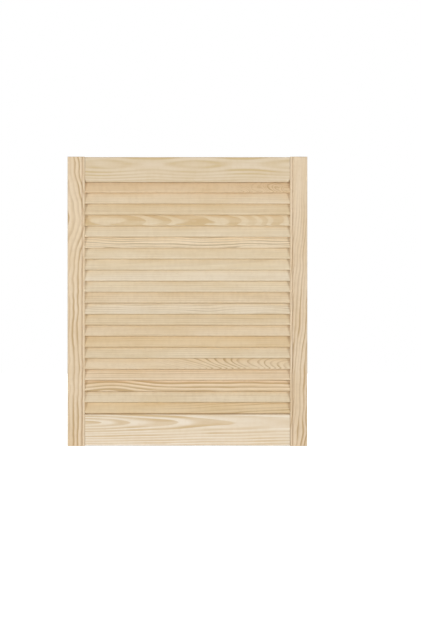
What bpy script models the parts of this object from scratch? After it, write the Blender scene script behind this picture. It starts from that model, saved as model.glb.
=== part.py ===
"""Louvred cabinet door leaf in solid pine.

Two beaded stiles and two rebated rails make a frame, and dowels pin its corners. A bank of fixed
slats fills it, each slat housed at both ends in slots cut into the inner edges of the stiles. The
leaf stands on the ends of its stiles with +Z up and its front facing -Y, and the origin is on the
floor under the middle of the leaf. All sizes are in metres.
"""

import math

import bmesh
import bpy

# The leaf
DOOR_WIDTH = 0.594
DOOR_HEIGHT = 0.717
DOOR_THICKNESS = 0.020
ARRIS_RADIUS = 0.0015

# The stiles, each with a flush bead and its quirk along the inner front edge
STILE_WIDTH = 0.0425
BEAD_WIDTH = 0.0056
BEAD_CROWN = 0.0007
QUIRK_WIDTH = 0.0018
QUIRK_DEPTH = 0.0026

# The rails, whose heights are those that show at the front; the top one's lip is clipped at both ends
TOP_RAIL_HEIGHT = 0.0619
BOTTOM_RAIL_HEIGHT = 0.0774
RAIL_SETBACK = 0.0011
RAIL_LIP_RADIUS = 0.0012
LIP_CLIP_WIDTH = 0.0056
LIP_CLIP_HEIGHT = 0.0076
SILL_RADIUS = 0.0015
REBATE_RADIUS = 0.0005

# The slats, which lean back as they rise
SLAT_THICKNESS = 0.006
SLAT_SETBACK = 0.0015
SLAT_PITCH = 0.0273
SLAT_AIR_GAP = 0.005
FIRST_LIP_DROP = 0.0267
SILL_GAP = 0.0022
SLOT_DEPTH = 0.008
HEEL_HEADROOM = 0.0015

# The dowels, two to a corner
DOWEL_DIAMETER = 0.008
DOWEL_LENGTH = 0.040
DOWEL_CHAMFER = 0.001
DOWEL_EDGE_DISTANCE = 0.016
TOP_DOWEL_SPACING = 0.028
BOTTOM_DOWEL_SPACING = 0.042
FLUTE_COUNT = 12
FLUTE_DEPTH = 0.0003

# Clearances
JOINT_CLEARANCE = 0.0003
END_CLEARANCE = 0.0005
GLUE_SPACE = 0.001
CUT_OVERRUN = 0.004

# Facets of the round stretches
ARRIS_STEPS = 3
LIP_STEPS = 6
BEAD_STEPS = 6
HOLE_SIDES = 24
SMOOTH_ANGLE = math.radians(35)

# The frame's opening
FRONT = -DOOR_THICKNESS / 2
BACK = DOOR_THICKNESS / 2
OPENING_WIDTH = DOOR_WIDTH - 2 * STILE_WIDTH
OPENING_TOP = DOOR_HEIGHT - RAIL_SETBACK - TOP_RAIL_HEIGHT
OPENING_BOTTOM = RAIL_SETBACK + BOTTOM_RAIL_HEIGHT
RAIL_HALF = OPENING_WIDTH / 2 - JOINT_CLEARANCE

# The bank of slats: whole steps nearest the wanted pitch, from the first lip to the last
FIRST_LIP = OPENING_TOP - FIRST_LIP_DROP
LAST_LIP = OPENING_BOTTOM + SILL_GAP
SLAT_STEPS = max(1, round((FIRST_LIP - LAST_LIP) / SLAT_PITCH))
TRUE_PITCH = (FIRST_LIP - LAST_LIP) / SLAT_STEPS

# The section of one slat: its faces keep the air gap to the next, its edges the setback
SLAT_SLOPE = math.acos((SLAT_THICKNESS + SLAT_AIR_GAP) / TRUE_PITCH)
SLAT_REACH = DOOR_THICKNESS - 2 * SLAT_SETBACK - SLAT_THICKNESS
SLAT_RISE = SLAT_REACH * math.tan(SLAT_SLOPE)
SLAT_FLAT = SLAT_REACH / math.cos(SLAT_SLOPE)
SLAT_HEIGHT = SLAT_RISE + SLAT_THICKNESS
SLAT_LENGTH = OPENING_WIDTH + 2 * (SLOT_DEPTH - END_CLEARANCE)
SLAT_LEAN = SLAT_SLOPE - math.pi / 2

# Pine and beech
STILE_COLOUR = (0.71, 0.565, 0.38)
RAIL_COLOUR = (0.73, 0.59, 0.41)
SLAT_COLOUR = (0.70, 0.55, 0.36)
DOWEL_COLOUR = (0.62, 0.44, 0.28)
WOOD_ROUGHNESS = 0.6


def clear_scene():
    """Remove every object of the scene."""
    for item in list(bpy.data.objects):
        bpy.data.objects.remove(item, do_unlink=True)


def make_material(name, colour):
    """A plain unvarnished wood."""
    material = bpy.data.materials.new(name)
    material.use_nodes = True
    shader = material.node_tree.nodes["Principled BSDF"]
    shader.inputs["Base Color"].default_value = (*colour, 1.0)
    shader.inputs["Roughness"].default_value = WOOD_ROUGHNESS
    shader.inputs["Metallic"].default_value = 0.0
    return material


def arc(centre, radius, start, end, steps):
    """Points on a circle from one angle to another, both ends included."""
    angles = [start + (end - start) * step / steps for step in range(steps + 1)]
    return [
        (centre[0] + radius * math.cos(angle), centre[1] + radius * math.sin(angle))
        for angle in angles
    ]


def rounded_corner(before, corner, after, radius, steps):
    """The points that replace one corner of an outline by an arc tangent to both of its sides."""
    into = math.atan2(before[1] - corner[1], before[0] - corner[0])
    out = math.atan2(after[1] - corner[1], after[0] - corner[0])
    opening = math.remainder(out - into, 2 * math.pi)
    half = opening / 2
    distance = radius / abs(math.sin(half))
    middle = into + half
    centre = (corner[0] + distance * math.cos(middle), corner[1] + distance * math.sin(middle))
    sweep = math.pi - abs(opening)
    facing = middle + math.pi
    turn = -math.copysign(sweep / 2, opening)
    return arc(centre, radius, facing - turn, facing + turn, steps)


def rounded_outline(corners):
    """An outline from (a, b, radius) corners, where a radius of 0 leaves the corner sharp."""
    points = []
    for index, (a, b, radius) in enumerate(corners):
        if radius == 0:
            points.append((a, b))
            continue
        before = corners[index - 1]
        after = corners[(index + 1) % len(corners)]
        points += rounded_corner(before, (a, b), after, radius, ARRIS_STEPS)
    return points


def stadium(flat, thickness):
    """The section of a board with fully rounded edges, its width along the second axis."""
    radius = thickness / 2
    top = arc((0, flat / 2), radius, 0, math.pi, LIP_STEPS)
    bottom = arc((0, -flat / 2), radius, math.pi, 2 * math.pi, LIP_STEPS)
    return top + bottom


def circle(diameter, sides):
    """A polygon whose flats stand at least half the diameter from its centre."""
    radius = diameter / 2 / math.cos(math.pi / sides)
    return arc((0, 0), radius, 0, 2 * math.pi, sides)[:-1]


def add_prism_along_x(bm, outline, start, end, centre=(0, 0), lean=0.0):
    """Sweep an outline of (y, z) points along X, turned by lean about X and moved to centre."""
    cos, sin = math.cos(lean), math.sin(lean)
    ring = [
        bm.verts.new((start, centre[0] + y * cos - z * sin, centre[1] + y * sin + z * cos))
        for y, z in outline
    ]
    sweep_face(bm, bm.faces.new(ring), (end - start, 0, 0))


def add_prism_along_y(bm, outline, start, end):
    """Sweep an outline of (x, z) points along Y."""
    ring = [bm.verts.new((x, start, z)) for x, z in outline]
    sweep_face(bm, bm.faces.new(ring), (0, end - start, 0))


def add_prism_along_z(bm, outline, start, end):
    """Sweep an outline of (x, y) points along Z."""
    ring = [bm.verts.new((x, y, start)) for x, y in outline]
    sweep_face(bm, bm.faces.new(ring), (0, 0, end - start))


def sweep_face(bm, face, path):
    """Extrude a face along a straight path into a closed prism."""
    swept = bmesh.ops.extrude_face_region(bm, geom=[face], use_keep_orig=True)
    moved = [item for item in swept["geom"] if isinstance(item, bmesh.types.BMVert)]
    bmesh.ops.translate(bm, verts=moved, vec=path)


def finish_mesh(bm, name, material=None):
    """Turn a bmesh into a mesh that faces outwards, smooth over its round stretches."""
    bmesh.ops.recalc_face_normals(bm, faces=bm.faces)
    mesh = bpy.data.meshes.new(name)
    bm.to_mesh(mesh)
    bm.free()
    mesh.shade_smooth()
    mesh.set_sharp_from_angle(angle=SMOOTH_ANGLE)
    if material:
        mesh.materials.append(material)
    return mesh


def place(name, mesh, parent, location=(0, 0, 0), lean=0.0):
    """Put a mesh into the scene as a named piece of the leaf."""
    piece = bpy.data.objects.new(name, mesh)
    bpy.context.scene.collection.objects.link(piece)
    piece.parent = parent
    piece.location = location
    piece.rotation_euler = (lean, 0, 0)
    return piece


def cut(piece, label, bm, parent):
    """Cut a tool's shapes, given in the leaf's own frame, out of a piece."""
    name = f"{piece.name}_{label}"
    tool = place(name, finish_mesh(bm, name), parent)
    tool.hide_render = True
    tool.display_type = "WIRE"
    modifier = piece.modifiers.new(label, "BOOLEAN")
    modifier.operation = "DIFFERENCE"
    modifier.solver = "EXACT"
    modifier.object = tool


def slat_centre(index):
    """The (y, z) middle of a slat's section, counted from the top."""
    lip = FIRST_LIP - index * TRUE_PITCH
    return (0.0, lip + SLAT_HEIGHT / 2)


def dowel_heights(outer_edge, spacing, inward):
    """The two dowels of a corner, from the rail's outer edge inwards."""
    first = outer_edge + inward * DOWEL_EDGE_DISTANCE
    return (first, first + inward * spacing)


TOP_DOWELS = dowel_heights(DOOR_HEIGHT - RAIL_SETBACK, TOP_DOWEL_SPACING, -1)
BOTTOM_DOWELS = dowel_heights(RAIL_SETBACK, BOTTOM_DOWEL_SPACING, 1)


def stile_section(inward):
    """The section of a stile, from its outer edge at 0 towards the slats."""
    bead_start = STILE_WIDTH - BEAD_WIDTH
    bead_middle = STILE_WIDTH - BEAD_WIDTH / 2
    bead_radius = (BEAD_WIDTH**2 / 4 + BEAD_CROWN**2) / (2 * BEAD_CROWN)
    bead_half_angle = math.asin(BEAD_WIDTH / 2 / bead_radius)
    bead = arc(
        (bead_middle, FRONT + bead_radius),
        bead_radius,
        -math.pi / 2 - bead_half_angle,
        -math.pi / 2 + bead_half_angle,
        BEAD_STEPS,
    )
    corners = [
        (0, BACK, ARRIS_RADIUS),
        (0, FRONT, ARRIS_RADIUS),
        (bead_start - QUIRK_WIDTH, FRONT, 0),
        (bead_start - QUIRK_WIDTH / 2, FRONT + QUIRK_DEPTH, 0),
        *((x, y, 0) for x, y in bead),
        (STILE_WIDTH, BACK, ARRIS_RADIUS),
    ]
    return [(inward * x, y) for x, y in rounded_outline(corners)]


def make_stile(name, side, material, parent):
    """One stile, with a slot for each slat and a hole for each dowel in its inner edge."""
    inward = -side
    bm = bmesh.new()
    add_prism_along_z(bm, stile_section(inward), 0, DOOR_HEIGHT)
    mesh = finish_mesh(bm, name, material)
    stile = place(name, mesh, parent, (side * DOOR_WIDTH / 2, 0, 0))

    inner_edge = side * OPENING_WIDTH / 2
    outside = inner_edge + inward * CUT_OVERRUN
    tool = bmesh.new()
    slot = stadium(SLAT_FLAT, SLAT_THICKNESS + 2 * JOINT_CLEARANCE)
    slot_floor = inner_edge + side * SLOT_DEPTH
    for index in range(SLAT_STEPS + 1):
        add_prism_along_x(tool, slot, outside, slot_floor, slat_centre(index), SLAT_LEAN)
    hole = circle(DOWEL_DIAMETER + 2 * JOINT_CLEARANCE, HOLE_SIDES)
    hole_floor = inner_edge + side * (DOWEL_LENGTH / 2 + GLUE_SPACE)
    for height in TOP_DOWELS + BOTTOM_DOWELS:
        add_prism_along_x(tool, hole, outside, hole_floor, (0, height))
    cut(stile, "slots_and_bores", tool, parent)


def top_lip_back():
    """Where the top rail's lip ends, an air gap in front of the first slat."""
    slat_y, slat_z = slat_centre(0)
    clear = (SLAT_THICKNESS / 2 + SLAT_AIR_GAP) / math.sin(SLAT_SLOPE)
    return slat_y + (OPENING_TOP - slat_z) / math.tan(SLAT_SLOPE) - clear


def top_rail_section():
    """The top rail's section from its lower edge up, rebated behind for the first slat's heel."""
    heel = FIRST_LIP + SLAT_HEIGHT - OPENING_TOP
    rebate = heel + HEEL_HEADROOM
    corners = [
        (BACK, TOP_RAIL_HEIGHT, ARRIS_RADIUS),
        (FRONT, TOP_RAIL_HEIGHT, ARRIS_RADIUS),
        (FRONT, 0, RAIL_LIP_RADIUS),
    ]
    if rebate <= 0:
        return rounded_outline(corners + [(BACK, 0, ARRIS_RADIUS)])
    lip_back = top_lip_back()
    return rounded_outline(
        corners
        + [
            (lip_back, 0, REBATE_RADIUS),
            (lip_back, rebate, 0),
            (BACK, rebate, REBATE_RADIUS),
        ]
    )


def bottom_rail_section():
    """The bottom rail's section from its lower edge up, rebated in front under the last slat."""
    lap = SLAT_HEIGHT - TRUE_PITCH
    upstand = SILL_GAP + lap
    corners = [
        (FRONT, BOTTOM_RAIL_HEIGHT, SILL_RADIUS),
        (FRONT, 0, ARRIS_RADIUS),
        (BACK, 0, ARRIS_RADIUS),
    ]
    if lap <= 0:
        return rounded_outline(corners + [(BACK, BOTTOM_RAIL_HEIGHT, ARRIS_RADIUS)])
    slat_y, slat_z = slat_centre(SLAT_STEPS)
    clear = (SLAT_THICKNESS / 2 + SLAT_AIR_GAP) / math.sin(SLAT_SLOPE)
    top = OPENING_BOTTOM + upstand
    upstand_front = slat_y + (top - slat_z) / math.tan(SLAT_SLOPE) + clear
    return rounded_outline(
        corners
        + [
            (BACK, BOTTOM_RAIL_HEIGHT + upstand, REBATE_RADIUS),
            (upstand_front, BOTTOM_RAIL_HEIGHT + upstand, REBATE_RADIUS),
            (upstand_front, BOTTOM_RAIL_HEIGHT, 0),
        ]
    )


def make_rail(name, section, lower_edge, heights, material, parent):
    """One rail between the stiles, with its dowel holes bored into both ends."""
    bm = bmesh.new()
    add_prism_along_x(bm, section, -RAIL_HALF, RAIL_HALF)
    mesh = finish_mesh(bm, name, material)
    rail = place(name, mesh, parent, (0, 0, lower_edge))

    tool = bmesh.new()
    hole = circle(DOWEL_DIAMETER + 2 * JOINT_CLEARANCE, HOLE_SIDES)
    for side in (-1, 1):
        outside = side * (RAIL_HALF + CUT_OVERRUN)
        floor = side * (OPENING_WIDTH / 2 - DOWEL_LENGTH / 2 - GLUE_SPACE)
        for height in heights:
            add_prism_along_x(tool, hole, outside, floor, (0, height))
    cut(rail, "bores", tool, parent)
    return rail


def clip_lip(rail, parent):
    """Clip the lower corners of the top rail's lip with a slanting cut at each end."""
    run = LIP_CLIP_WIDTH + CUT_OVERRUN * LIP_CLIP_WIDTH / LIP_CLIP_HEIGHT
    rise = LIP_CLIP_HEIGHT + CUT_OVERRUN * LIP_CLIP_HEIGHT / LIP_CLIP_WIDTH
    below = OPENING_TOP - CUT_OVERRUN
    tool = bmesh.new()
    for side in (-1, 1):
        outside = side * (RAIL_HALF + CUT_OVERRUN)
        corner = [
            (side * (RAIL_HALF - run), below),
            (outside, below),
            (outside, OPENING_TOP + rise),
        ]
        add_prism_along_y(tool, corner, FRONT - CUT_OVERRUN, top_lip_back() + CUT_OVERRUN)
    cut(rail, "clips", tool, parent)


def make_slats(material, parent):
    """The bank of slats, numbered from the top and all of one section."""
    bm = bmesh.new()
    half = SLAT_LENGTH / 2
    add_prism_along_x(bm, stadium(SLAT_FLAT, SLAT_THICKNESS), -half, half)
    mesh = finish_mesh(bm, "slat", material)
    for index in range(SLAT_STEPS + 1):
        y, z = slat_centre(index)
        place(f"slat_{index + 1:02d}", mesh, parent, (0, y, z), SLAT_LEAN)


def dowel_ring(bm, along, inset):
    """One ring of a fluted dowel, drawn in by inset."""
    ring = []
    for index in range(2 * FLUTE_COUNT):
        angle = math.pi * index / FLUTE_COUNT
        radius = DOWEL_DIAMETER / 2 - inset - FLUTE_DEPTH * (index % 2)
        ring.append(bm.verts.new((along, radius * math.cos(angle), radius * math.sin(angle))))
    return ring


def dowel_mesh(material):
    """A fluted dowel along X with chamfered ends."""
    bm = bmesh.new()
    half = DOWEL_LENGTH / 2
    rings = [
        dowel_ring(bm, -half, DOWEL_CHAMFER),
        dowel_ring(bm, -half + DOWEL_CHAMFER, 0),
        dowel_ring(bm, half - DOWEL_CHAMFER, 0),
        dowel_ring(bm, half, DOWEL_CHAMFER),
    ]
    for ring, following in zip(rings, rings[1:]):
        for index in range(len(ring)):
            around = (index + 1) % len(ring)
            bm.faces.new((ring[index], ring[around], following[around], following[index]))
    bm.faces.new(rings[0])
    bm.faces.new(rings[-1])
    return finish_mesh(bm, "dowel", material)


def make_dowels(material, parent):
    """Two dowels across each corner joint, half in the stile and half in the rail."""
    mesh = dowel_mesh(material)
    for side_name, side in (("left", -1), ("right", 1)):
        for rail_name, heights in (("top", TOP_DOWELS), ("bottom", BOTTOM_DOWELS)):
            for rank, height in zip(("outer", "inner"), heights):
                name = f"dowel_{rail_name}_{side_name}_{rank}"
                place(name, mesh, parent, (side * OPENING_WIDTH / 2, 0, height))


def main():
    """Build the leaf under one empty."""
    clear_scene()
    leaf = bpy.data.objects.new("door_leaf", None)
    bpy.context.scene.collection.objects.link(leaf)

    stile_pine = make_material("stile_pine", STILE_COLOUR)
    rail_pine = make_material("rail_pine", RAIL_COLOUR)
    slat_pine = make_material("slat_pine", SLAT_COLOUR)
    dowel_beech = make_material("dowel_beech", DOWEL_COLOUR)

    make_stile("stile_left", -1, stile_pine, leaf)
    make_stile("stile_right", 1, stile_pine, leaf)
    top_rail = make_rail(
        "rail_top", top_rail_section(), OPENING_TOP, TOP_DOWELS, rail_pine, leaf
    )
    clip_lip(top_rail, leaf)
    make_rail(
        "rail_bottom", bottom_rail_section(), RAIL_SETBACK, BOTTOM_DOWELS, rail_pine, leaf
    )
    make_slats(slat_pine, leaf)
    make_dowels(dowel_beech, leaf)


if __name__ == "__main__":
    main()
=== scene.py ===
"""Looks of a louvred cabinet door in bare pine.

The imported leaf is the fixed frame. Its stiles, rails and slats are made again with finer roundings, eased
ends and clean joints, and each board gets its own cut through a pine trunk: growth rings that lean, bow and
wander, fibres, resin canals and a slow change of colour. The dowels inside the joints keep their solids.
All sizes are in metres, +Z is up and the front faces -Y.
"""

import logging
import math
from collections.abc import Callable
from dataclasses import asdict, dataclass, field, replace
from enum import Enum
from itertools import product

import bmesh
import bpy
from bpy.types import Material, Mesh, Node, NodeSocket, NodeTree
from mathutils import Matrix, Vector


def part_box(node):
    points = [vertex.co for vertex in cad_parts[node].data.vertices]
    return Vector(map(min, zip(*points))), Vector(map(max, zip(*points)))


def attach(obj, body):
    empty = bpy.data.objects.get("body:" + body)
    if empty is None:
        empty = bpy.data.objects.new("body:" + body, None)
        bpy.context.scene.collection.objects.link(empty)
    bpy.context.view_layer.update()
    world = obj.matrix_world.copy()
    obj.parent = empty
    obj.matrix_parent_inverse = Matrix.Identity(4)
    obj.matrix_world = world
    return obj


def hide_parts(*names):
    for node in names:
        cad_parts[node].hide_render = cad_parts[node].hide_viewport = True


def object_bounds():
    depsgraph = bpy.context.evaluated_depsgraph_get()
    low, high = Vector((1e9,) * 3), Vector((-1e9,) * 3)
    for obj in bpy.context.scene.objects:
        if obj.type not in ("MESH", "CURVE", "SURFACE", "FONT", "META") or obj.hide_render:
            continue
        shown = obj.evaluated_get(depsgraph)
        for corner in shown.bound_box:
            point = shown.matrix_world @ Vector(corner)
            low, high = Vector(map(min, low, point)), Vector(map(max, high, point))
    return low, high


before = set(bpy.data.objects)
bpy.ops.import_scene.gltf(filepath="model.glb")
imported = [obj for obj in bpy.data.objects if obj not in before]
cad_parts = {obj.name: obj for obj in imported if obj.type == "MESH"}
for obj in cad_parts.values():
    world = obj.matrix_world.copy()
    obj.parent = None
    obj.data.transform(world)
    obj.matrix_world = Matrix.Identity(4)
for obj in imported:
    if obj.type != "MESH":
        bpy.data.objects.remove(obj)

CAD_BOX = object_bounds()
SMOOTH_ANGLE = math.radians(35)
WHITE = (1.0, 1.0, 1.0, 1.0)

log = logging.getLogger("louvred_door")

Colour = tuple[float, float, float, float]
Point = tuple[float, float]


def srgb(*levels: int) -> Colour:
    """The linear colour that the nodes take, from a screen colour of 0 to 255, by the sRGB standard."""
    shares = [level / 255 for level in levels]
    return (*(s / 12.92 if s <= 0.04045 else ((s + 0.055) / 1.055) ** 2.4 for s in shares), 1.0)


# Node trees written as formulas

def sign(operation: str) -> Callable[["Wire", "Feed"], "Wire"]:
    """What a sign between two wires stands for: a Math node."""
    return lambda wire, other: wire.graph.math(operation, wire, other)


@dataclass(frozen=True)
class Wire:
    """An output socket that can be used in a formula."""

    graph: "Graph"
    socket: NodeSocket
    __add__ = sign("ADD")
    __sub__ = sign("SUBTRACT")
    __mul__ = sign("MULTIPLY")
    __truediv__ = sign("DIVIDE")


Feed = Wire | Node | float | tuple | None


class Graph:
    """Adds linked nodes to a tree, so that a pattern reads like the formula it stands for."""

    def __init__(self, tree: NodeTree) -> None:
        """Keep the tree that the nodes go into."""
        self.tree = tree

    def feed(self, socket: NodeSocket, value: Feed) -> None:
        """Link a wire or a node's first output to a socket, or set a plain value on it.

        Args:
            socket: The input to feed.
            value: A wire, a node, a number, a vector or a colour, or None to leave the socket alone.
        """
        if isinstance(value, Node):
            value = self.out(value)
        if isinstance(value, Wire):
            self.tree.links.new(value.socket, socket)
        elif value is not None:
            socket.default_value = value

    def node(self, kind: str, *values: Feed, **settings: object) -> Node:
        """Add one node.

        Args:
            kind: The node's type.
            *values: What feeds its inputs, in their order.
            **settings: The node's own properties.

        Returns:
            The new node.
        """
        node = self.tree.nodes.new(kind)
        for name, setting in settings.items():
            setattr(node, name, setting)
        for socket, value in zip(node.inputs, values):
            self.feed(socket, value)
        return node

    def fill(self, node: Node, **values: Feed) -> Node:
        """Feed named inputs of a node.

        Args:
            node: The node.
            **values: What feeds each input, its spaces written as underscores.

        Returns:
            The same node.
        """
        for name, value in values.items():
            self.feed(node.inputs[name.replace("_", " ")], value)
        return node

    def out(self, node: Node, output: int | str = 0) -> Wire:
        """A wire from one output of a node."""
        return Wire(self, node.outputs[output])

    def math(self, operation: str, *values: Feed) -> Wire:
        """A wire from a Math node."""
        return self.out(self.node("ShaderNodeMath", *values, operation=operation))

    def vector(self, operation: str, *values: Feed) -> Wire:
        """A wire from a Vector Math node."""
        return self.out(self.node("ShaderNodeVectorMath", *values, operation=operation))

    def split(self, vector: Feed) -> tuple[Wire, ...]:
        """The three parts of a vector."""
        node = self.node("ShaderNodeSeparateXYZ", vector)
        return tuple(Wire(self, part) for part in node.outputs)

    def join(self, x: Feed, y: Feed, z: Feed) -> Wire:
        """A vector from its three parts."""
        return self.out(self.node("ShaderNodeCombineXYZ", x, y, z))

    def ramp(self, value: Feed, low: Feed, high: Feed, start: Feed = 0.0, end: Feed = 1.0) -> Wire:
        """A smooth step of a value, from start at low to end at high."""
        values = (value, low, high, start, end)
        return self.out(self.node("ShaderNodeMapRange", *values, interpolation_type="SMOOTHSTEP"))

    def mix(self, share: Feed, first: Feed, second: Feed) -> Wire:
        """A mix of two colours, by the share of the second."""
        node = self.node("ShaderNodeMix", share, *[None] * 5, first, second, data_type="RGBA")
        return self.out(node, 2)

    def noise(self, vector: Feed, detail: float, roughness: float = 0.5) -> Node:
        """A noise texture of unit scale, so that the vector sets its grain."""
        return self.node("ShaderNodeTexNoise", vector, None, 1.0, detail, roughness)

    def group(self, tree: NodeTree, **values: Feed) -> dict[str, Wire]:
        """Place a node group, fill its inputs and give the wires of its outputs by their names."""
        node = self.fill(self.node("ShaderNodeGroup", node_tree=tree), **values)
        return {socket.name: Wire(self, socket) for socket in node.outputs}


class Kind(Enum):
    """The sockets that a tree's interface can have."""

    VALUE = "NodeSocketFloat"
    COUNT = "NodeSocketInt"
    VECTOR = "NodeSocketVector"
    SHAPE = "NodeSocketGeometry"
    FINISH = "NodeSocketMaterial"


Sockets = dict[Kind, tuple[str, ...]]


class GroupGraph(Graph):
    """A node tree with a named interface of its own."""

    def __init__(self, name: str, tree_type: str, inputs: Sockets, outputs: Sockets) -> None:
        """Make the tree and its interface.

        Args:
            name: The tree's name.
            tree_type: The kind of tree, for shaders or for geometry.
            inputs: The names of its inputs of each kind.
            outputs: The names of its outputs of each kind.
        """
        super().__init__(bpy.data.node_groups.new(name, tree_type))
        self.identifiers: dict[str, str] = {}
        for way, sockets in {"OUTPUT": outputs, "INPUT": inputs}.items():
            for kind, titles in sockets.items():
                for title in titles:
                    socket = self.tree.interface.new_socket(title, in_out=way, socket_type=kind.value)
                    self.identifiers[title] = socket.identifier
        self.entry = self.tree.nodes.new("NodeGroupInput")
        self.exit = self.tree.nodes.new("NodeGroupOutput")

    def __getitem__(self, title: str) -> Wire:
        """The wire of a named input."""
        return self.out(self.entry, title)

    def give(self, title: str, value: Feed) -> None:
        """Lead a wire or a node's first output to a named output."""
        self.feed(self.exit.inputs[title], value)


# Pine

@dataclass(frozen=True)
class Grain:
    """Noise that is drawn out along a board.

    Along and across say how many of its grains a metre holds. Its mask begins at low and is full at high.
    """

    along: float
    across: float
    detail: float
    roughness: float
    low: float
    high: float


STREAKS = Grain(3.5, 150.0, 2.0, 0.6, 0.42, 0.75)
FIBRES = Grain(22.0, 1300.0, 3.0, 0.6, 0.45, 0.8)
CANALS = Grain(70.0, 1500.0, 0.0, 0.6, 0.70, 0.80)
CURLS = Grain(95.0, 48.0, 1.0, 0.6, 0.40, 0.66)
CLOUDS = Grain(8.0, 55.0, 2.0, 0.5, 0.36, 0.66)
# Patches along the arrises where their painted highlight or shade shows.
ARRIS_PATCHES = Grain(40.0, 90.0, 3.0, 0.5, -1.0, -0.1)
ARRIS_PATCH_SPREAD = 1.2
END_START = -1.0
END_FULL = -0.2
NOISE_MIDDLE = 0.5
SEED_STRIDE = (13.7, 5.3, 9.1)
YEAR_STRIDE = 3.1
TONE_STRIDE = 17.0
YEAR_GRAIN = 0.45
SWAY_ACROSS = 0.045
SWAY_DETAIL = 1.5


class PineGroups:
    """The patterns that all the pine boards share, each one node group."""

    def __init__(self) -> None:
        """Build each group once."""
        self.rings = self.growth_rings()
        self.fibre = self.wood_fibre()
        self.blush = self.slow_blush()
        self.edges = self.board_edges()

    @staticmethod
    def started(name: str, outputs: tuple[str, ...], sizes: tuple[str, ...] = ()) -> GroupGraph:
        """A new group that reads a place on a board, the board's seed and sizes of its own."""
        inputs = {Kind.VECTOR: ("Board",), Kind.VALUE: ("Seed", *sizes)}
        return GroupGraph(name, "ShaderNodeTree", inputs, {Kind.VALUE: outputs})

    @staticmethod
    def seeded(graph: GroupGraph, vector: Wire) -> Wire:
        """A place in the noise that belongs to one board alone."""
        shift = graph.join(*(graph["Seed"] * stride for stride in SEED_STRIDE))
        return graph.vector("ADD", vector, shift)

    def drawn_out(self, graph: GroupGraph, grain: Grain) -> Node:
        """The noise of one grain."""
        place = graph.vector("MULTIPLY", graph["Board"], (grain.along, grain.across, grain.across))
        return graph.noise(self.seeded(graph, place), grain.detail, grain.roughness)

    def growth_rings(self) -> NodeTree:
        """Growth rings on any cut through a trunk that leans, bows and wanders.

        Returns:
            A group that gives the mask of late wood and a random tone for each ring.
        """
        sizes = tuple(name.replace("_", " ") for name in Figure().sockets())
        graph = self.started("growth_rings", ("Late Wood", "Ring Tone"), sizes)
        along, depth, across = graph.split(graph["Board"])
        slow = graph.join(along / graph["Wander Length"], depth / SWAY_ACROSS, across / SWAY_ACROSS)
        sway = graph.noise(self.seeded(graph, slow), SWAY_DETAIL)
        _, sway_depth, sway_across = graph.split(graph.out(sway, "Color"))

        from_bulge = (along - graph["Bulge Place"]) / graph["Bulge Length"]
        bulge = graph.math("EXPONENT", from_bulge * from_bulge * -1.0) * graph["Bulge"]
        side = across - graph["Pith Across"] - along * graph["Lean Across"] - bulge
        side = side + (sway_across - NOISE_MIDDLE) * graph["Wander"]

        turns = (along - graph["Wave Place"]) / graph["Wave Length"]
        wave = graph.math("COSINE", turns * math.tau) * graph["Wave"]
        lean = graph["Lean Depth"] + along * graph["Bow"]
        down = depth - graph["Pith Depth"] - along * lean + wave
        down = down + (sway_depth - NOISE_MIDDLE) * graph["Wander"]

        count = graph.math("SQRT", side * side + down * down) / graph["Ring Width"]
        place = count * YEAR_GRAIN + graph["Seed"] * YEAR_STRIDE
        years = graph.node("ShaderNodeTexNoise", None, place, 1.0, 1.0, noise_dimensions="1D")
        count = count + graph.out(years) * graph["Years"]
        phase = graph.math("FRACT", count)
        late = graph.ramp(phase, graph["Late Start"], graph["Late Full"])
        graph.give("Late Wood", late * graph.ramp(phase, graph["Late Fall"], 1.0, 1.0, 0.0))
        place = graph.math("FLOOR", count) + graph["Seed"] * TONE_STRIDE
        tone = graph.node("ShaderNodeTexWhiteNoise", None, place, noise_dimensions="1D")
        graph.give("Ring Tone", graph.out(tone, "Value"))
        return graph.tree

    def wood_fibre(self) -> NodeTree:
        """Streaks, fine fibres and resin canals along the grain, and the curl that ripples across it.

        Returns:
            A group that gives the noise of the fibres and one mask for each grain.
        """
        grains = {"Streak": STREAKS, "Thread": FIBRES, "Canal": CANALS, "Curl": CURLS}
        graph = self.started("wood_fibre", ("Fibre", *grains))
        noises = {name: self.drawn_out(graph, grain) for name, grain in grains.items()}
        for name, grain in grains.items():
            graph.give(name, graph.ramp(noises[name], grain.low, grain.high))
        graph.give("Fibre", noises["Thread"])
        return graph.tree

    def slow_blush(self) -> NodeTree:
        """The slow change of colour along a board.

        Returns:
            A group that gives one mask each for rosy, for pale and for strongly marked stretches.
        """
        outputs = ("Rosy", "Pale", "Marked")
        graph = self.started("slow_blush", outputs)
        cloud = self.drawn_out(graph, CLOUDS)
        for name, value in zip(outputs, graph.split(graph.out(cloud, "Color"))):
            graph.give(name, graph.ramp(value, CLOUDS.low, CLOUDS.high))
        return graph.tree

    def board_edges(self) -> NodeTree:
        """The arrises of a board and its end grain.

        Returns:
            A group that gives a mask for the arrises, uneven along them, where their painted highlight or
            shade goes, and one for the ends.
        """
        halves = ("Half Along", "Half Depth", "Half Across")
        graph = self.started("board_edges", ("Arris", "End"), (*halves, "Reach"))
        end, face, side = (
            graph.math("ABSOLUTE", place) - graph[half]
            for place, half in zip(graph.split(graph["Board"]), halves)
        )
        lower = graph.math("MINIMUM", face, side)
        upper = graph.math("MAXIMUM", face, side)
        second = graph.math("MAXIMUM", lower, graph.math("MINIMUM", upper, end))
        # The mask of the arrises' painted highlight or shade, patchy along them.
        patch = graph.out(self.drawn_out(graph, ARRIS_PATCHES))
        patchy_arris = second / graph["Reach"] + (patch - NOISE_MIDDLE) * ARRIS_PATCH_SPREAD
        graph.give("Arris", graph.ramp(patchy_arris, ARRIS_PATCHES.low, ARRIS_PATCHES.high))
        graph.give("End", graph.ramp(end / graph["Reach"], END_START, END_FULL))
        return graph.tree


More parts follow.
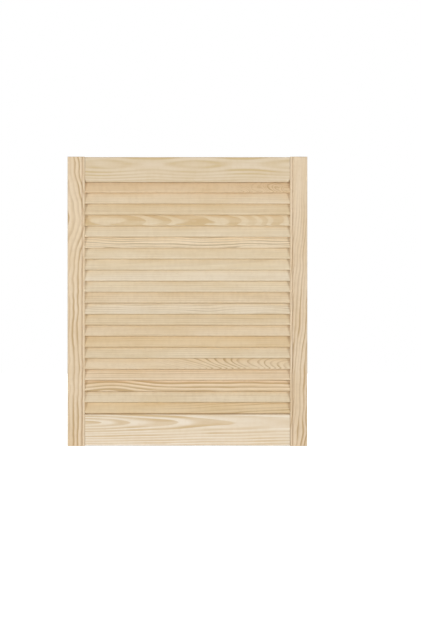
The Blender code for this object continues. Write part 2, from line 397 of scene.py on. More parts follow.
EARLY_STEP = (9, 9, 10)
ROSY_STEP = (4, 2, -1)
PALE_STEP = (12, 14, 18)
END_STEP = (-30, -40, -46)
BROWN_LATE = (-30, -38, -47)
GOLDEN_LATE = (-17, -30, -50)
WHEAT_LATE = (-17, -27, -58)
GREY_LATE = (-44, -47, -50)


@dataclass(frozen=True)
class Tone:
    """The colours of one kind of pine board."""

    early: Colour
    late: Colour
    rosy: Colour
    pale: Colour
    end: Colour

    @classmethod
    def around(cls, *face: int, late: tuple[int, int, int] = BROWN_LATE) -> "Tone":
        """The colours of a board whose face shows one screen colour, each a step away from it."""
        steps = (EARLY_STEP, late, ROSY_STEP, PALE_STEP, END_STEP)
        return cls(*(srgb(*map(sum, zip(face, step))) for step in steps))


class Pine(Enum):
    """The kinds of pine in the door, from the palest board to the warmest."""

    CHALK = Tone.around(232, 219, 198, late=GOLDEN_LATE)
    PALE = Tone.around(226, 211, 184)
    IVORY = Tone.around(233, 214, 182, late=GREY_LATE)
    CREAM = Tone.around(224, 207, 176)
    BUTTER = Tone.around(223, 205, 173, late=GOLDEN_LATE)
    FLAX = Tone.around(217, 199, 171, late=WHEAT_LATE)
    MAIZE = Tone.around(231, 210, 177)
    SAND = Tone.around(227, 206, 174)
    BLUSH = Tone.around(223, 202, 171)
    STRAW = Tone.around(223, 203, 170)
    HONEY = Tone.around(221, 201, 166)
    GOLDEN = Tone.around(221, 198, 159)
    AMBER = Tone.around(219, 193, 155)


@dataclass(frozen=True)
class Arris:
    """The painted highlight or shade on a board's arrises, the greyer painted shade on the leaf's outer
    ones and how much shows.
    """

    colour: Colour
    outer: Colour
    share: float


class Edge(Enum):
    """The arrises: a paler painted highlight on the slats, painted shade on the frame and greyer painted
    shade round the leaf.
    """

    # Painted highlight: a paler tint on the slats' arrises and lips.
    SANDED = Arris(srgb(236, 222, 198), srgb(236, 222, 198), 0.10)
    # Painted shade: a darker tint on the frame's arrises, greyer on the leaf's outer edges.
    HANDLED = Arris(srgb(226, 204, 168), srgb(196, 184, 164), 0.5)


@dataclass(frozen=True)
class Figure:
    """How a board lies in its trunk, which sets the lines on its face.

    The pith is given from the middle of the board, across its face and behind it. Along the grain it leans,
    bows, waves towards the face and wanders, and a bulge swings the lines aside as they pass a knot.
    """

    pith_across: float = 0.075
    pith_depth: float = 0.05
    lean_across: float = 0.0
    lean_depth: float = 0.0
    bow: float = 0.0
    bulge: float = 0.0
    bulge_place: float = 0.0
    bulge_length: float = 0.1
    wave: float = 0.0
    wave_place: float = 0.0
    wave_length: float = 1.0
    ring_width: float = 0.0045
    years: float = 0.9
    late_start: float = 0.25
    late_full: float = 0.88
    late_fall: float = 0.92
    wander: float = 0.006
    wander_length: float = 0.22

    def sockets(self) -> dict[str, float]:
        """The sizes under the names that the ring group's inputs have."""
        return {name.title(): size for name, size in asdict(self).items()}


@dataclass(frozen=True)
class Board:
    """One board: its kind of pine, its figure, a seed of its own and how strongly it is marked.

    The marks grow along the grain, from nothing at marked_from to full strength at marked_to. Outside is 1
    or -1 where the leaf's own edge lies on that side across the board, and 0 where it has none.
    """

    pine: Pine
    figure: Figure
    seed: float
    strength: float = 0.22
    curl: float = 0.08
    # Which painted highlight or painted shade the board's arrises get.
    edge: Edge = Edge.SANDED
    # Where the greyer painted shade of the leaf's outer arrises goes.
    outside: float = 0.0
    marked_from: float = -2.0
    marked_to: float = -1.0


LEVEL = (0.0, 0.0, 0.0)
UPRIGHT = (0.0, -math.pi / 2, 0.0)


@dataclass(frozen=True)
class Seat:
    """Where a board's own coordinates sit in the door.

    The first axis runs along the grain, the second into the face and the third across the face.
    """

    centre: Vector
    turn: tuple[float, float, float]
    half_along: float
    half_depth: float
    half_across: float


@dataclass(frozen=True)
class BarePine:
    """Unvarnished, machine-sanded pine, with the share that each of its patterns has in the whole."""

    groups: PineGroups
    rosy: float = 0.8
    pale: float = 0.6
    ring_least: float = 0.55
    ring_spread: float = 0.9
    mark_least: float = 0.6
    mark_spread: float = 0.7
    streak: float = 0.16
    thread: float = 0.07
    canal: float = 0.3
    end_least: float = 0.55
    end_late: float = 0.4
    arris_reach: float = 0.002
    roughness_early: float = 0.62
    roughness_late: float = 0.48
    roughness_fibre: float = 0.12
    relief: float = 0.00012
    relief_strength: float = 0.6
    relief_late: float = 0.5
    relief_fibre: float = 0.5
    relief_canal: float = 0.4
    gloss: float = 0.35

    def material(self, name: str, board: Board, seat: Seat) -> Material:
        """Make the finish of one board.

        Args:
            name: The material's name.
            board: The board's pine, figure and seed.
            seat: Where the board's own coordinates sit.

        Returns:
            The material.
        """
        material = bpy.data.materials.new(name)
        material.use_nodes = True
        graph = Graph(material.node_tree)
        shader = material.node_tree.nodes["Principled BSDF"]
        tone = board.pine.value
        arris = board.edge.value

        coordinates = graph.out(graph.node("ShaderNodeTexCoord"), "Object")
        place = graph.node(
            "ShaderNodeMapping", coordinates, tuple(seat.centre), seat.turn, vector_type="TEXTURE"
        )
        own = {"Board": place, "Seed": board.seed}
        rings = graph.group(self.groups.rings, **own, **board.figure.sockets())
        fibre = graph.group(self.groups.fibre, **own)
        blush = graph.group(self.groups.blush, **own)
        edges = graph.group(
            self.groups.edges, **own, Half_Along=seat.half_along, Half_Depth=seat.half_depth,
            Half_Across=seat.half_across, Reach=self.arris_reach,
        )
        late = rings["Late Wood"]
        fine = fibre["Fibre"]
        canal = fibre["Canal"]
        along, _, across = graph.split(place)
        shown = graph.ramp(along, board.marked_from, board.marked_to) * board.strength
        drawn = late * (rings["Ring Tone"] * self.ring_spread + self.ring_least) * shown
        # Where the greyer painted shade of the leaf's outer arrises shows.
        outer = graph.ramp(across * board.outside, 0.0, self.arris_reach)

        layers = [
            (blush["Rosy"] * self.rosy, tone.rosy),
            (blush["Pale"] * self.pale, tone.pale),
            (fibre["Curl"] * board.curl, tone.late),
            (drawn * (blush["Marked"] * self.mark_spread + self.mark_least), tone.late),
            (fibre["Streak"] * self.streak, tone.late),
            (fibre["Thread"] * self.thread, tone.late),
            (canal * self.canal, tone.late),
            (edges["End"] * (late * self.end_late + self.end_least), tone.end),
            # Painted light on the arrises: a paler painted highlight on the slats, painted shade on the
            # frame, greyer at the leaf's outer edges.
            (edges["Arris"] * arris.share, graph.mix(outer, arris.colour, arris.outer)),
        ]
        colour: Feed = tone.early
        for share, layer in layers:
            colour = graph.mix(share, colour, layer)

        span = self.roughness_late - self.roughness_early
        rough = late * span + self.roughness_early + (fine - NOISE_MIDDLE) * self.roughness_fibre
        height = late * self.relief_late + fine * self.relief_fibre - canal * self.relief_canal
        bump = graph.fill(graph.node("ShaderNodeBump", self.relief_strength, self.relief), Height=height)
        graph.fill(shader, Base_Color=colour, Roughness=rough, Specular_IOR_Level=self.gloss, Normal=bump)
        return material


# Shapes

ROUND_STEPS = 14
FULL_ROUND = 0.498
BORE_SIDES = 40
EASE_STEPS = 3


def arc(centre: Point, radius: float, start: float, end: float, steps: int) -> list[Point]:
    """Points on a circle from one angle to another, both ends included."""
    angles = [start + (end - start) * step / steps for step in range(steps + 1)]
    return [(centre[0] + radius * math.cos(a), centre[1] + radius * math.sin(a)) for a in angles]


def rounded_outline(corners: list[tuple[float, float, float]], steps: int) -> list[Point]:
    """An outline whose corners are rounded.

    Args:
        corners: Each corner's two coordinates and its radius, where 0 leaves it sharp.
        steps: How many chords each rounding has.

    Returns:
        The outline's points.
    """
    points: list[Point] = []
    for index, (a, b, radius) in enumerate(corners):
        if radius == 0:
            points.append((a, b))
            continue
        before = corners[index - 1]
        after = corners[(index + 1) % len(corners)]
        into = math.atan2(before[1] - b, before[0] - a)
        out = math.atan2(after[1] - b, after[0] - a)
        opening = math.remainder(out - into, 2 * math.pi)
        distance = radius / abs(math.sin(opening / 2))
        middle = into + opening / 2
        centre = (a + distance * math.cos(middle), b + distance * math.sin(middle))
        turn = -math.copysign((math.pi - abs(opening)) / 2, opening)
        points += arc(centre, radius, middle + math.pi - turn, middle + math.pi + turn, steps)
    return points


def swept_board(name: str, ring: list[Vector], path: Vector, end_ease: float) -> Mesh:
    """Sweep a section into a closed board.

    Args:
        name: The mesh's name.
        ring: The section at the board's first end.
        path: The way to its other end.
        end_ease: How far the arrises of its ends are eased, or 0.

    Returns:
        The board's mesh, facing outwards.
    """
    bm = bmesh.new()
    first = bm.faces.new([bm.verts.new(point) for point in ring])
    swept = bmesh.ops.extrude_face_region(bm, geom=[first], use_keep_orig=True)
    moved = [item for item in swept["geom"] if isinstance(item, bmesh.types.BMVert)]
    bmesh.ops.translate(bm, verts=moved, vec=path)
    if end_ease:
        caps = [face for face in bm.faces if len(face.verts) > 4]
        edges = list({edge for face in caps for edge in face.edges})
        bmesh.ops.bevel(
            bm, geom=edges, offset=end_ease, offset_type="OFFSET", segments=EASE_STEPS, profile=0.5,
            affect="EDGES",
        )
    bmesh.ops.recalc_face_normals(bm, faces=bm.faces)
    mesh = bpy.data.meshes.new(name)
    bm.to_mesh(mesh)
    bm.free()
    return mesh


def slat_blank(graph: GroupGraph, prefix: str = "") -> Node:
    """A board along X with fully rounded edges, its width along Z.

    Args:
        graph: The tree that it is added to, with a length, a width and a thickness among its inputs.
        prefix: What the names of these inputs begin with.

    Returns:
        The node that makes the board's mesh.
    """
    length, width, thickness = (graph[prefix + size] for size in ("Length", "Width", "Thickness"))
    ends = [graph.join(length * share, 0.0, 0.0) for share in (-0.5, 0.5)]
    path = graph.node("GeometryNodeCurvePrimitiveLine", *ends)
    section = graph.node("GeometryNodeCurvePrimitiveQuadrilateral", thickness, width)
    rounded = graph.node(
        "GeometryNodeFilletCurve", section, ROUND_STEPS, thickness * FULL_ROUND, True, mode="POLY"
    )
    return graph.fill(graph.node("GeometryNodeCurveToMesh", path, rounded), Fill_Caps=True)


def dress(graph: GroupGraph, title: str, shape: Node) -> None:
    """End a tree by making its shape whole and setting the finish."""
    whole = graph.node("GeometryNodeRealizeInstances", shape)
    graph.give(title, graph.node("GeometryNodeSetMaterial", whole, None, graph["Finish"]))


def cut_and_dress(graph: GroupGraph, tools: Node) -> None:
    """End a tree by cutting its tools out of its board and setting the finish.

    Args:
        graph: The tree, with a Board and a Finish among its inputs.
        tools: The solids to cut away.
    """
    solid = graph.node("GeometryNodeRealizeInstances", tools)
    cut = graph.node("GeometryNodeMeshBoolean", operation="DIFFERENCE", solver="EXACT")
    dress(graph, "Board", graph.fill(cut, Mesh_1=graph["Board"], Mesh_2=solid))


def joinery_tree() -> GroupGraph:
    """The tree that cuts a row of slat housings and two pairs of dowel bores out of a board.

    Returns:
        The tree with its named inputs.
    """
    inputs = {
        Kind.SHAPE: ("Board",),
        Kind.COUNT: ("Housings",),
        Kind.VECTOR: (
            "First Housing", "Housing Step", "Lean", "Bore Pair A", "Bore Pair B", "Step A", "Step B",
        ),
        Kind.VALUE: ("Housing Length", "Housing Width", "Housing Thickness", "Bore Radius", "Bore Length"),
        Kind.FINISH: ("Finish",),
    }
    graph = GroupGraph("frame_joinery", "GeometryNodeTree", inputs, {Kind.SHAPE: ("Board",)})
    row = graph.node(
        "GeometryNodeMeshLine", graph["Housings"], None, graph["First Housing"], graph["Housing Step"]
    )
    housings = graph.node("GeometryNodeInstanceOnPoints", row, None, slat_blank(graph, "Housing "))
    graph.fill(housings, Rotation=graph["Lean"])
    bore = graph.node(
        "GeometryNodeMeshCylinder", BORE_SIDES, 1, 1, graph["Bore Radius"], graph["Bore Length"]
    )
    tools = graph.node("GeometryNodeJoinGeometry", housings)
    for pair in ("A", "B"):
        first, step = graph["Bore Pair " + pair], graph["Step " + pair]
        places = graph.node("GeometryNodeMeshLine", 2, None, first, step)
        bores = graph.node("GeometryNodeInstanceOnPoints", places, None, bore)
        graph.feed(tools.inputs[0], graph.fill(bores, Rotation=(0.0, math.pi / 2, 0.0)))
    cut_and_dress(graph, tools)
    return graph


def lip_clip_tree() -> GroupGraph:
    """The tree that clips both corners off a lip, with one turned block for each.

    Returns:
        The tree with its named inputs.
    """
    inputs = {
        Kind.SHAPE: ("Board",), Kind.VECTOR: ("Block", "Left", "Right"), Kind.VALUE: ("Turn",),
        Kind.FINISH: ("Finish",),
    }
    graph = GroupGraph("lip_clips", "GeometryNodeTree", inputs, {Kind.SHAPE: ("Board",)})
    block = graph.node("GeometryNodeMeshCube", graph["Block"])
    tools = graph.node("GeometryNodeJoinGeometry")
    for side, sense in (("Left", -1.0), ("Right", 1.0)):
        placed = graph.node("GeometryNodeTransform", block)
        turn = graph.join(0.0, graph["Turn"] * sense, 0.0)
        graph.feed(tools.inputs[0], graph.fill(placed, Translation=graph[side], Rotation=turn))
    cut_and_dress(graph, tools)
    return graph


def louvre_tree() -> GroupGraph:
    """The tree that makes the bank of slats, or any one of them.

    Returns:
        The tree with its named inputs.
    """
    inputs = {
        Kind.COUNT: ("Count", "Wanted"), Kind.VECTOR: ("First", "Step", "Lean"),
        Kind.VALUE: ("Length", "Width", "Thickness"), Kind.FINISH: ("Finish",),
    }
    graph = GroupGraph("louvre_bank", "GeometryNodeTree", inputs, {Kind.SHAPE: ("Slats",)})
    row = graph.node("GeometryNodeMeshLine", graph["Count"], None, graph["First"], graph["Step"])
    wanted = graph.node("FunctionNodeCompare", data_type="INT", operation="EQUAL")
    graph.feed(wanted.inputs[2], graph.node("GeometryNodeInputIndex"))
    graph.feed(wanted.inputs[3], graph["Wanted"])
    slats = graph.node("GeometryNodeInstanceOnPoints", row, wanted, slat_blank(graph))
    dress(graph, "Slats", graph.fill(slats, Rotation=graph["Lean"]))
    return graph


def grown_mesh(name: str, tree: GroupGraph, start: Mesh | None, **values: object) -> Mesh:
    """Run a geometry tree once and keep what it makes as a plain mesh.

    Args:
        name: The mesh's name.
        tree: The geometry tree.
        start: The mesh that the tree works on, or None for an empty one.
        **values: The tree's inputs, their spaces written as underscores.

    Returns:
        The mesh, smooth over its round stretches.
    """
    base = start or bpy.data.meshes.new(name + "_base")
    carrier = bpy.data.objects.new(name + "_carrier", base)
    bpy.context.scene.collection.objects.link(carrier)
    modifier = carrier.modifiers.new(tree.tree.name, "NODES")
    modifier.node_group = tree.tree
    for title, value in values.items():
        modifier[tree.identifiers[title.replace("_", " ")]] = value
    bpy.context.view_layer.update()
    graph = bpy.context.evaluated_depsgraph_get()
    mesh = bpy.data.meshes.new_from_object(carrier.evaluated_get(graph), depsgraph=graph)
    bpy.data.objects.remove(carrier, do_unlink=True)
    bpy.data.meshes.remove(base)
    mesh.name = name
    mesh.shade_smooth()
    mesh.set_sharp_from_angle(angle=SMOOTH_ANGLE)
    return mesh


def set_in_door(node: str, mesh: Mesh) -> None:
    """Put a finished mesh into the door in place of its plain solid.

    Args:
        node: The solid's name.
        mesh: The finished mesh.
    """
    piece = bpy.data.objects.new("pine_" + node, mesh)
    bpy.context.scene.collection.objects.link(piece)
    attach(piece, "root")
    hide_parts(node)
    log.info("%s: %d faces", piece.name, len(mesh.polygons))


# The door

def centre_of(node: str) -> Vector:
    """The middle of a solid's box."""
    low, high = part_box(node)
    return (low + high) / 2


@dataclass
class Frame:
    """What the boards share: the sizes and places of the slats, taken from the loaded frame."""

    clearance: float = 0.0003
    slat_thickness: float = 0.006
    slat_count: int = field(init=False)
    slat_length: float = field(init=False)
    slat_width: float = field(init=False)
    slat_step: Vector = field(init=False)
    first_slat: Vector = field(init=False)
    lean: float = field(init=False)

    def __post_init__(self) -> None:
        """Read the bank of slats from the frame."""
        self.slat_count = sum(name.startswith("slat_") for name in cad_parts)
        low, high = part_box("slat_01")
        last_slat = centre_of(f"slat_{self.slat_count:02d}")
        self.first_slat = centre_of("slat_01")
        self.slat_step = (last_slat - self.first_slat) / (self.slat_count - 1)
        size = high - low
        reach = size.y - self.slat_thickness
        rise = size.z - self.slat_thickness
        self.slat_length = size.x
        self.slat_width = math.hypot(reach, rise) + self.slat_thickness
        self.lean = -math.atan2(reach, rise)


@dataclass(kw_only=True)
class FrameBoard:
    """A board of the frame: its solid, what it is made with and its common sizes."""

    node: str
    shared: Frame
    tree: GroupGraph
    finish: BarePine
    board: Board
    arris: float = 0.0015
    bore_diameter: float = 0.0086
    bore_depth: float = 0.021
    steps: int = 8
    overrun: float = 0.004
    low: Vector = field(init=False)
    high: Vector = field(init=False)

    def __post_init__(self) -> None:
        """Read the lowest and the highest corner of the solid."""
        self.low, self.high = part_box(self.node)

    def joined(self, blank: Mesh, seat: Seat, corners: dict[str, float], **housings: object) -> Mesh:
        """Cut the joints into a blank and give it its finish.

        Args:
            blank: The board without its joints.
            seat: Where the board's own coordinates sit.
            corners: The two corners where it is bored, each with the way of its bores along X.
            **housings: The joinery tree's inputs for the slats.

        Returns:
            The board's mesh.
        """
        reach = (self.bore_depth - self.overrun) / 2
        bores: dict[str, object] = {}
        for pair, (corner, way) in zip("AB", corners.items()):
            first, second = (centre_of(f"dowel_{corner}_{place}") for place in ("outer", "inner"))
            bores["Bore_Pair_" + pair] = (first.x + way * reach, first.y, first.z)
            bores["Step_" + pair] = tuple(second - first)
        pine = self.finish.material("pine_" + self.node, self.board, seat)
        return grown_mesh(
            "pine_" + self.node, self.tree, blank, Bore_Radius=self.bore_diameter / 2,
            Bore_Length=self.bore_depth + self.overrun, Finish=pine, **bores, **housings,
        )


class Side(Enum):
    """The two sides of the door, each with its way out along X."""

    LEFT = -1.0
    RIGHT = 1.0


@dataclass
class Stile(FrameBoard):
    """An upright of the frame, with its bead, its quirk, its housings and its bores."""

    side: Side
    bead_width: float = 0.0056
    bead_crown: float = 0.0007
    quirk_width: float = 0.0018
    quirk_depth: float = 0.0026
    end_ease: float = 0.0005
    housing_depth: float = 0.008

    def section(self) -> list[Point]:
        """The section from the outer edge at 0 towards the slats.

        Returns:
            The outline's points.
        """
        width, _, _ = self.high - self.low
        front, back = self.low.y, self.high.y
        bead_start = width - self.bead_width
        radius = (self.bead_width**2 / 4 + self.bead_crown**2) / (2 * self.bead_crown)
        half = math.asin(self.bead_width / 2 / radius)
        middle = (width - self.bead_width / 2, front + radius)
        bead = arc(middle, radius, -math.pi / 2 - half, -math.pi / 2 + half, 2 * self.steps)
        corners = [
            (0.0, back, self.arris),
            (0.0, front, self.arris),
            (bead_start - self.quirk_width, front, 0.0),
            (bead_start - self.quirk_width / 2, front + self.quirk_depth, 0.0),
            *((x, y, 0.0) for x, y in bead),
            (width, back, self.arris),
        ]
        return rounded_outline(corners, self.steps)

    def build(self) -> None:
        """Make the stile and set it in the door."""
        side = self.side.name.lower()
        out = self.side.value
        low, high = self.low, self.high
        outer, inner = (low.x, high.x) if self.side is Side.LEFT else (high.x, low.x)
        ring = [Vector((outer - out * x, y, low.z)) for x, y in self.section()]
        blank = swept_board(self.node + "_blank", ring, Vector((0.0, 0.0, high.z - low.z)), self.end_ease)
        half = (high - low) / 2
        seat = Seat(centre_of(self.node), UPRIGHT, half.z, half.y, half.x)
        shared = self.shared
        housing_middle = inner + out * (self.housing_depth - self.overrun) / 2
        mesh = self.joined(
            blank, seat, {"top_" + side: out, "bottom_" + side: out}, Housings=shared.slat_count,
            First_Housing=(housing_middle, shared.first_slat.y, shared.first_slat.z),
            Housing_Step=tuple(shared.slat_step), Housing_Length=self.housing_depth + self.overrun,
            Housing_Width=shared.slat_width + 2 * shared.clearance,
            Housing_Thickness=shared.slat_thickness + 2 * shared.clearance, Lean=(shared.lean, 0.0, 0.0),
        )
        set_in_door(self.node, mesh)


class Place(Enum):
    """Which rail it is."""

    TOP = "top"
    BOTTOM = "bottom"


@dataclass
class Rail(FrameBoard):
    """A rail of the frame, rebated for the slat that laps it and bored at both ends."""

    place: Place
    height: float
    front_round: float
    clip_width: float = 0.0
    clip_height: float = 0.0
    clip_depth: float = 0.0045
    rebate_round: float = 0.0005
    air_gap: float = 0.005
    heel_headroom: float = 0.0015

    def beside_slat(self, slat: Vector, height: float, side: float) -> float:
        """How deep in the door the air gap beside a slat ends.

        Args:
            slat: The slat's middle.
            height: The height at which the gap is measured.
            side: -1 in front of the slat, 1 behind it.

        Returns:
            The depth, in the door's own coordinates.
        """
        slope = math.pi / 2 + self.shared.lean
        clear = (self.shared.slat_thickness / 2 + self.air_gap) / math.sin(slope)
        return slat.y + (height - slat.z) / math.tan(slope) + side * clear

    def section(self) -> list[Point]:
        """The section in the door's own depth and height.

        Returns:
            The outline's points.
        """
        low, high, shared = self.low, self.high, self.shared
        if self.place is Place.TOP:
            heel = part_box("slat_01")[1].z + self.heel_headroom
            lip_back = self.beside_slat(shared.first_slat, low.z, -1.0)
            corners = [
                (high.y, high.z, self.arris),
                (low.y, high.z, self.arris),
                (low.y, low.z, self.front_round),
                (lip_back, low.z, self.rebate_round),
                (lip_back, heel, 0.0),
                (high.y, heel, self.rebate_round),
            ]
        else:
            slat = shared.first_slat + shared.slat_step * (shared.slat_count - 1)
            sill = low.z + self.height
            upstand_front = self.beside_slat(slat, high.z, 1.0)
            corners = [
                (low.y, sill, self.front_round),
                (low.y, low.z, self.arris),
                (high.y, low.z, self.arris),
                (high.y, high.z, self.rebate_round),
                (upstand_front, high.z, self.rebate_round),
                (upstand_front, sill, 0.0),
            ]
        return rounded_outline(corners, self.steps)

    def build(self) -> None:
        """Make the rail and set it in the door."""
        place = self.place.value
        low, high = self.low, self.high
        ring = [Vector((low.x, y, z)) for y, z in self.section()]
        blank = swept_board(self.node + "_blank", ring, Vector((high.x - low.x, 0.0, 0.0)), 0.0)
        centre = centre_of(self.node)
        centre.z = low.z + self.height / 2
        half = (high - low) / 2
        seat = Seat(centre, LEVEL, half.x, half.y, self.height / 2)
        mesh = self.joined(blank, seat, {place + "_left": 1.0, place + "_right": -1.0}, Housings=0)
        if self.clip_width:
            mesh = self.clipped(mesh)
        set_in_door(self.node, mesh)

    def clipped(self, mesh: Mesh) -> Mesh:
        """Clip the two corners of the rail's lip.

        Args:
            mesh: The rail so far.

        Returns:
            The rail with its clipped lip.
        """
        low, high = self.low, self.high
        length = math.hypot(self.clip_width, self.clip_height)
        front = low.y - self.overrun
        back = low.y + self.clip_depth
        out = self.clip_width / 2 - self.clip_height
        down = self.clip_height / 2 - self.clip_width
        return grown_mesh(
            mesh.name, lip_clip_tree(), mesh, Block=(2 * length, back - front, 2 * length),
            Left=(low.x + out, (front + back) / 2, low.z + down),
            Right=(high.x - out, (front + back) / 2, low.z + down),
            Turn=math.atan2(self.clip_width, self.clip_height), Finish=bpy.data.materials[mesh.name],
        )


@dataclass
class LouvreBank:
    """The fixed slats, each its own board and its own piece."""

    boards: list[Board]
    shared: Frame
    finish: BarePine

    def build(self) -> None:
        """Make every slat, from the top down, and set it in the door."""
        tree = louvre_tree()
        shared = self.shared
        turn = (shared.lean, 0.0, 0.0)
        halves = [size / 2 for size in (shared.slat_length, shared.slat_thickness, shared.slat_width)]
        for index, board in enumerate(self.boards):
            node = f"slat_{index + 1:02d}"
            seat = Seat(shared.first_slat + shared.slat_step * index, turn, *halves)
            pine = self.finish.material("pine_" + node, board, seat)
            mesh = grown_mesh(
                "pine_" + node, tree, None, Count=shared.slat_count, First=tuple(shared.first_slat),
                Step=tuple(shared.slat_step), Lean=turn, Length=shared.slat_length, Width=shared.slat_width,
                Thickness=shared.slat_thickness, Wanted=index, Finish=pine,
            )
            set_in_door(node, mesh)


def dress_dowels(finish: BarePine) -> None:
    """Give the dowels that stay inside the joints a wood of their own.

    Args:
        finish: The finish of bare pine.
    """
    for name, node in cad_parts.items():
        if not name.startswith("dowel_"):
            continue
        low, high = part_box(name)
        seat = Seat(centre_of(name), LEVEL, *((high - low) / 2))
        wood = finish.material("dowel_wood_" + name, DOWEL_BOARD, seat)
        for slot in node.material_slots:
            slot.material = wood


# The studio

@dataclass
class Studio:
    """A pale floor, soft light and the camera at the photograph's viewing angle.

    The leaf's edges are in pixels of the photograph.
    """

    image_width: int = 421
    image_height: int = 631
    leaf_left: float = 67.51
    leaf_right: float = 307.37
    leaf_top: float = 156.55
    leaf_bottom: float = 446.25
    distance: float = 7.0
    sensor: float = 36.0
    sky: float = 0.4
    lamp_distance: float = 8.0
    lamp_height: float = 1.15
    lamp_width: float = 0.5
    lamp_rise: float = 1.6
    front_angle: float = 38.0
    front_power: float = 202.0
    back_angle: float = 150.0
    back_power: float = 125.0
    floor_size: float = 14.0
    floor_grey: float = 0.86
    floor_roughness: float = 0.9
    floor_glow: float = 0.85

    def camera(self) -> None:
        """Stand the camera square to the leaf, framed as in the photograph."""
        low, high = CAD_BOX
        pixel = (high[0] - low[0]) / (self.leaf_right - self.leaf_left)
        data = bpy.data.cameras.new("camera")
        data.sensor_width = self.sensor
        data.lens = self.sensor * self.distance / (self.image_height * pixel)
        data.shift_x = (self.image_width - self.leaf_left - self.leaf_right) / 2 / self.image_height
        data.shift_y = (self.leaf_top + self.leaf_bottom - self.image_height) / 2 / self.image_height
        eye = bpy.data.objects.new("camera", data)
        eye.location = ((low[0] + high[0]) / 2, low[1] - self.distance, (low[2] + high[2]) / 2)
        eye.rotation_euler = (math.pi / 2, 0.0, 0.0)
        bpy.context.scene.collection.objects.link(eye)
        bpy.context.scene.camera = eye

    @staticmethod
    def seen(graph: Graph) -> Wire:
        """A mask that is 1 for what the camera sees, straight or by way of gloss or glass.

        Args:
            graph: The graph of the material or the world.

        Returns:
            The mask.
        """
        rays = graph.node("ShaderNodeLightPath")
        seen = graph.math("MAXIMUM", graph.out(rays, "Is Camera Ray"), graph.out(rays, "Is Glossy Ray"))
        return graph.math("MAXIMUM", seen, graph.out(rays, "Is Transmission Ray"))

    def world(self) -> None:
        """Even light from all round, and a white ground behind the leaf."""
        world = bpy.data.worlds.new("studio")
        world.use_nodes = True
        bpy.context.scene.world = world
        graph = Graph(world.node_tree)
        strength = self.seen(graph) * (1.0 - self.sky) + self.sky
        graph.fill(world.node_tree.nodes["Background"], Color=WHITE, Strength=strength)

    def floor(self) -> None:
        """A pale floor that shows white and keeps the leaf's shadow."""
        half = self.floor_size / 2
        mesh = bpy.data.meshes.new("studio_floor")
        corners = [(-half, -half, 0.0), (half, -half, 0.0), (half, half, 0.0), (-half, half, 0.0)]
        mesh.from_pydata(corners, [], [(0, 1, 2, 3)])
        ground = bpy.data.objects.new("studio_floor", mesh)
        bpy.context.scene.collection.objects.link(ground)
        material = bpy.data.materials.new("studio_white")
        material.use_nodes = True
        graph = Graph(material.node_tree)
        graph.fill(
            material.node_tree.nodes["Principled BSDF"], Specular_IOR_Level=0.0, Emission_Color=WHITE,
            Base_Color=(self.floor_grey, self.floor_grey, self.floor_grey, 1.0),
            Roughness=self.floor_roughness, Emission_Strength=self.seen(graph) * self.floor_glow,
        )
        mesh.materials.append(material)

    def lamps(self) -> None:
        """Two tall soft lamps in front, one to each side, and two weaker ones behind."""
        low, high = CAD_BOX
        aim = Vector([(a + b) / 2 for a, b in zip(low, high)])
        pairs = {"": (self.front_angle, self.front_power), "back_": (self.back_angle, self.back_power)}
        for (pair, (degrees, power)), side in product(pairs.items(), Side):
            name = f"softbox_{pair}{side.name.lower()}"
            angle = math.radians(side.value * degrees)
            data = bpy.data.lights.new(name, "AREA")
            data.energy = power
            data.shape = "RECTANGLE"
            data.size = self.lamp_width
            data.size_y = self.lamp_rise
            lamp = bpy.data.objects.new(name, data)
            reach = self.lamp_distance
            place = Vector((reach * math.sin(angle), -reach * math.cos(angle), self.lamp_height))
            look = (aim - place).to_track_quat("-Z", "Y").to_matrix().to_4x4()
            lamp.matrix_world = Matrix.Translation(place) @ look
            bpy.context.scene.collection.objects.link(lamp)

    def build(self) -> None:
        """Set up the whole studio."""
        bpy.context.scene.view_settings.view_transform = "Standard"
        self.camera()
        self.world()
        self.floor()
        self.lamps()


# The boards of the door

RIFT = Figure()
WAVY = Figure(
    pith_across=0.055, pith_depth=0.02, lean_across=-0.008, bulge=0.011, bulge_place=-0.19,
    bulge_length=0.085, ring_width=0.01, years=0.4, late_start=0.2, wander=0.016, wander_length=0.14,
)
STREAKY = Figure(
    pith_across=0.05, pith_depth=0.03, bulge=-0.006, bulge_length=0.15, ring_width=0.0055,
    late_start=0.35, wander=0.014, wander_length=0.14,
)
POOLED = Figure(
    pith_across=-0.004, pith_depth=0.0385, lean_depth=0.0608, bow=0.0896, wave=0.00153, wave_place=0.37,
    wave_length=0.26, years=0.0, late_start=0.3, late_full=0.48, wander=0.005, wander_length=0.06,
)
CHEVRON = Figure(
    pith_across=0.0216, pith_depth=0.051, lean_across=-0.12, lean_depth=-0.075, bow=-0.15,
    ring_width=0.0024, late_start=0.5, wander=0.004, wander_length=0.08,
)
TAPERED = Figure(pith_across=0.012, pith_depth=0.03, lean_depth=0.03, ring_width=0.006)
FLAMED = Figure(
    pith_across=0.0186, pith_depth=0.0091, lean_depth=0.0465, bow=-0.0663, wave=0.00053, wave_place=0.32,
    wave_length=0.18, ring_width=0.006, years=0.0, late_start=0.2, late_full=0.7, wander=0.0024,
    wander_length=0.12,
)
LENSED = Figure(
    pith_across=0.0128, pith_depth=0.0119, wave=0.0022, wave_place=0.024, wave_length=0.235,
    ring_width=0.006, years=0.0, late_start=0.2, late_full=0.6, late_fall=0.65, wander=0.003,
    wander_length=0.1,
)
SWIRLED = Figure(
    pith_across=0.064, pith_depth=0.03, bulge=-0.028, bulge_place=0.214, bulge_length=0.075,
    ring_width=0.009, years=0.0, late_start=0.3, late_full=0.82, late_fall=0.84, wander=0.014,
    wander_length=0.055,
)
SLANTED = Figure(
    pith_across=-0.06, pith_depth=0.03, lean_across=-0.07, ring_width=0.0056, late_start=0.35, wander=0.016,
    wander_length=0.1,
)
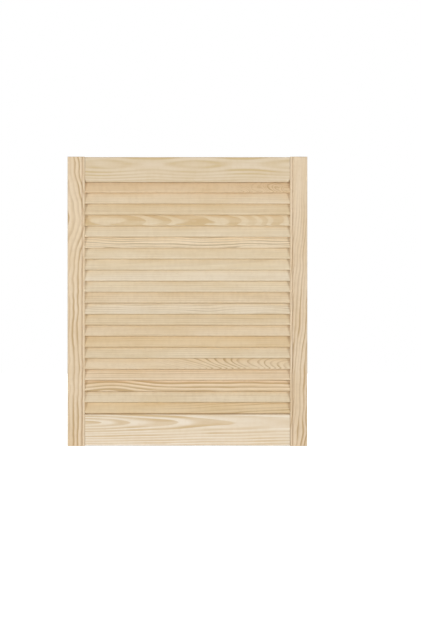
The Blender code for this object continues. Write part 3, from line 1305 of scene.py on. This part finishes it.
SLOPING = Figure(pith_across=0.06, pith_depth=0.03, lean_across=0.05, ring_width=0.007, wander=0.012)
CURLED = replace(CHEVRON, ring_width=0.0016, wander=0.009, wander_length=0.03)
FINE = Figure(ring_width=0.003)

SLAT_BOARDS = [
    Board(Pine.AMBER, CURLED, 1.0, 0.45, 0.1, marked_from=0.09, marked_to=0.15),
    Board(Pine.STRAW, RIFT, 2.0),
    Board(Pine.HONEY, RIFT, 3.0, 0.3),
    Board(Pine.BUTTER, POOLED, 4.0, 0.4, 0.1),
    Board(Pine.CREAM, RIFT, 5.0, 0.2),
    Board(Pine.IVORY, STREAKY, 6.0, 1.0),
    Board(Pine.CREAM, RIFT, 7.0, 0.2),
    Board(Pine.CREAM, TAPERED, 8.0, 0.18),
    Board(Pine.PALE, RIFT, 9.0, 0.15),
    Board(Pine.CREAM, RIFT, 10.0, 0.25),
    Board(Pine.STRAW, RIFT, 11.0, 0.25, 0.12),
    Board(Pine.PALE, STREAKY, 12.0, 0.4),
    Board(Pine.HONEY, RIFT, 13.0, 0.25),
    Board(Pine.STRAW, RIFT, 14.0),
    Board(Pine.GOLDEN, RIFT, 15.0),
    Board(Pine.CREAM, RIFT, 16.0, 0.25),
    Board(Pine.STRAW, CHEVRON, 17.0, 0.75, marked_from=-0.12, marked_to=0.06),
    Board(Pine.SAND, RIFT, 18.0, 0.5),
    Board(Pine.MAIZE, WAVY, 19.0, 1.5),
    Board(Pine.CREAM, RIFT, 20.0, 0.25, 0.12),
    Board(Pine.GOLDEN, SLOPING, 21.0, 0.5, marked_from=-0.15, marked_to=0.15),
]
# The frame's boards get painted shade on their arrises, greyer on the leaf's outer edges.
LEFT_STILE_BOARD = Board(Pine.SAND, SWIRLED, 31.3, 0.75, edge=Edge.HANDLED, outside=1.0)
RIGHT_STILE_BOARD = Board(
    Pine.BLUSH, SLANTED, 32.0, 0.68, edge=Edge.HANDLED, outside=-1.0, marked_from=0.42, marked_to=-0.05
)
TOP_RAIL_BOARD = Board(Pine.FLAX, LENSED, 33.0, 0.4, edge=Edge.HANDLED, outside=1.0)
BOTTOM_RAIL_BOARD = Board(Pine.CHALK, FLAMED, 34.00501, 0.72, edge=Edge.HANDLED, outside=-1.0)
DOWEL_BOARD = Board(Pine.GOLDEN, FINE, 40.0)


def main() -> None:
    """Build the door and its studio."""
    logging.basicConfig(level=logging.INFO, format="%(name)s: %(message)s")
    finish = BarePine(PineGroups())
    shared = Frame()
    kit = {"shared": shared, "tree": joinery_tree(), "finish": finish}
    Stile(Side.LEFT, node="stile_left", board=LEFT_STILE_BOARD, **kit).build()
    Stile(Side.RIGHT, node="stile_right", board=RIGHT_STILE_BOARD, **kit).build()
    Rail(
        Place.TOP, node="rail_top", height=0.0619, front_round=0.0012, clip_width=0.0056,
        clip_height=0.0076, board=TOP_RAIL_BOARD, **kit,
    ).build()
    Rail(
        Place.BOTTOM, node="rail_bottom", height=0.0774, front_round=0.0015, board=BOTTOM_RAIL_BOARD, **kit
    ).build()
    LouvreBank(SLAT_BOARDS, shared, finish).build()
    dress_dowels(finish)
    Studio().build()


if __name__ == "__main__":
    main()
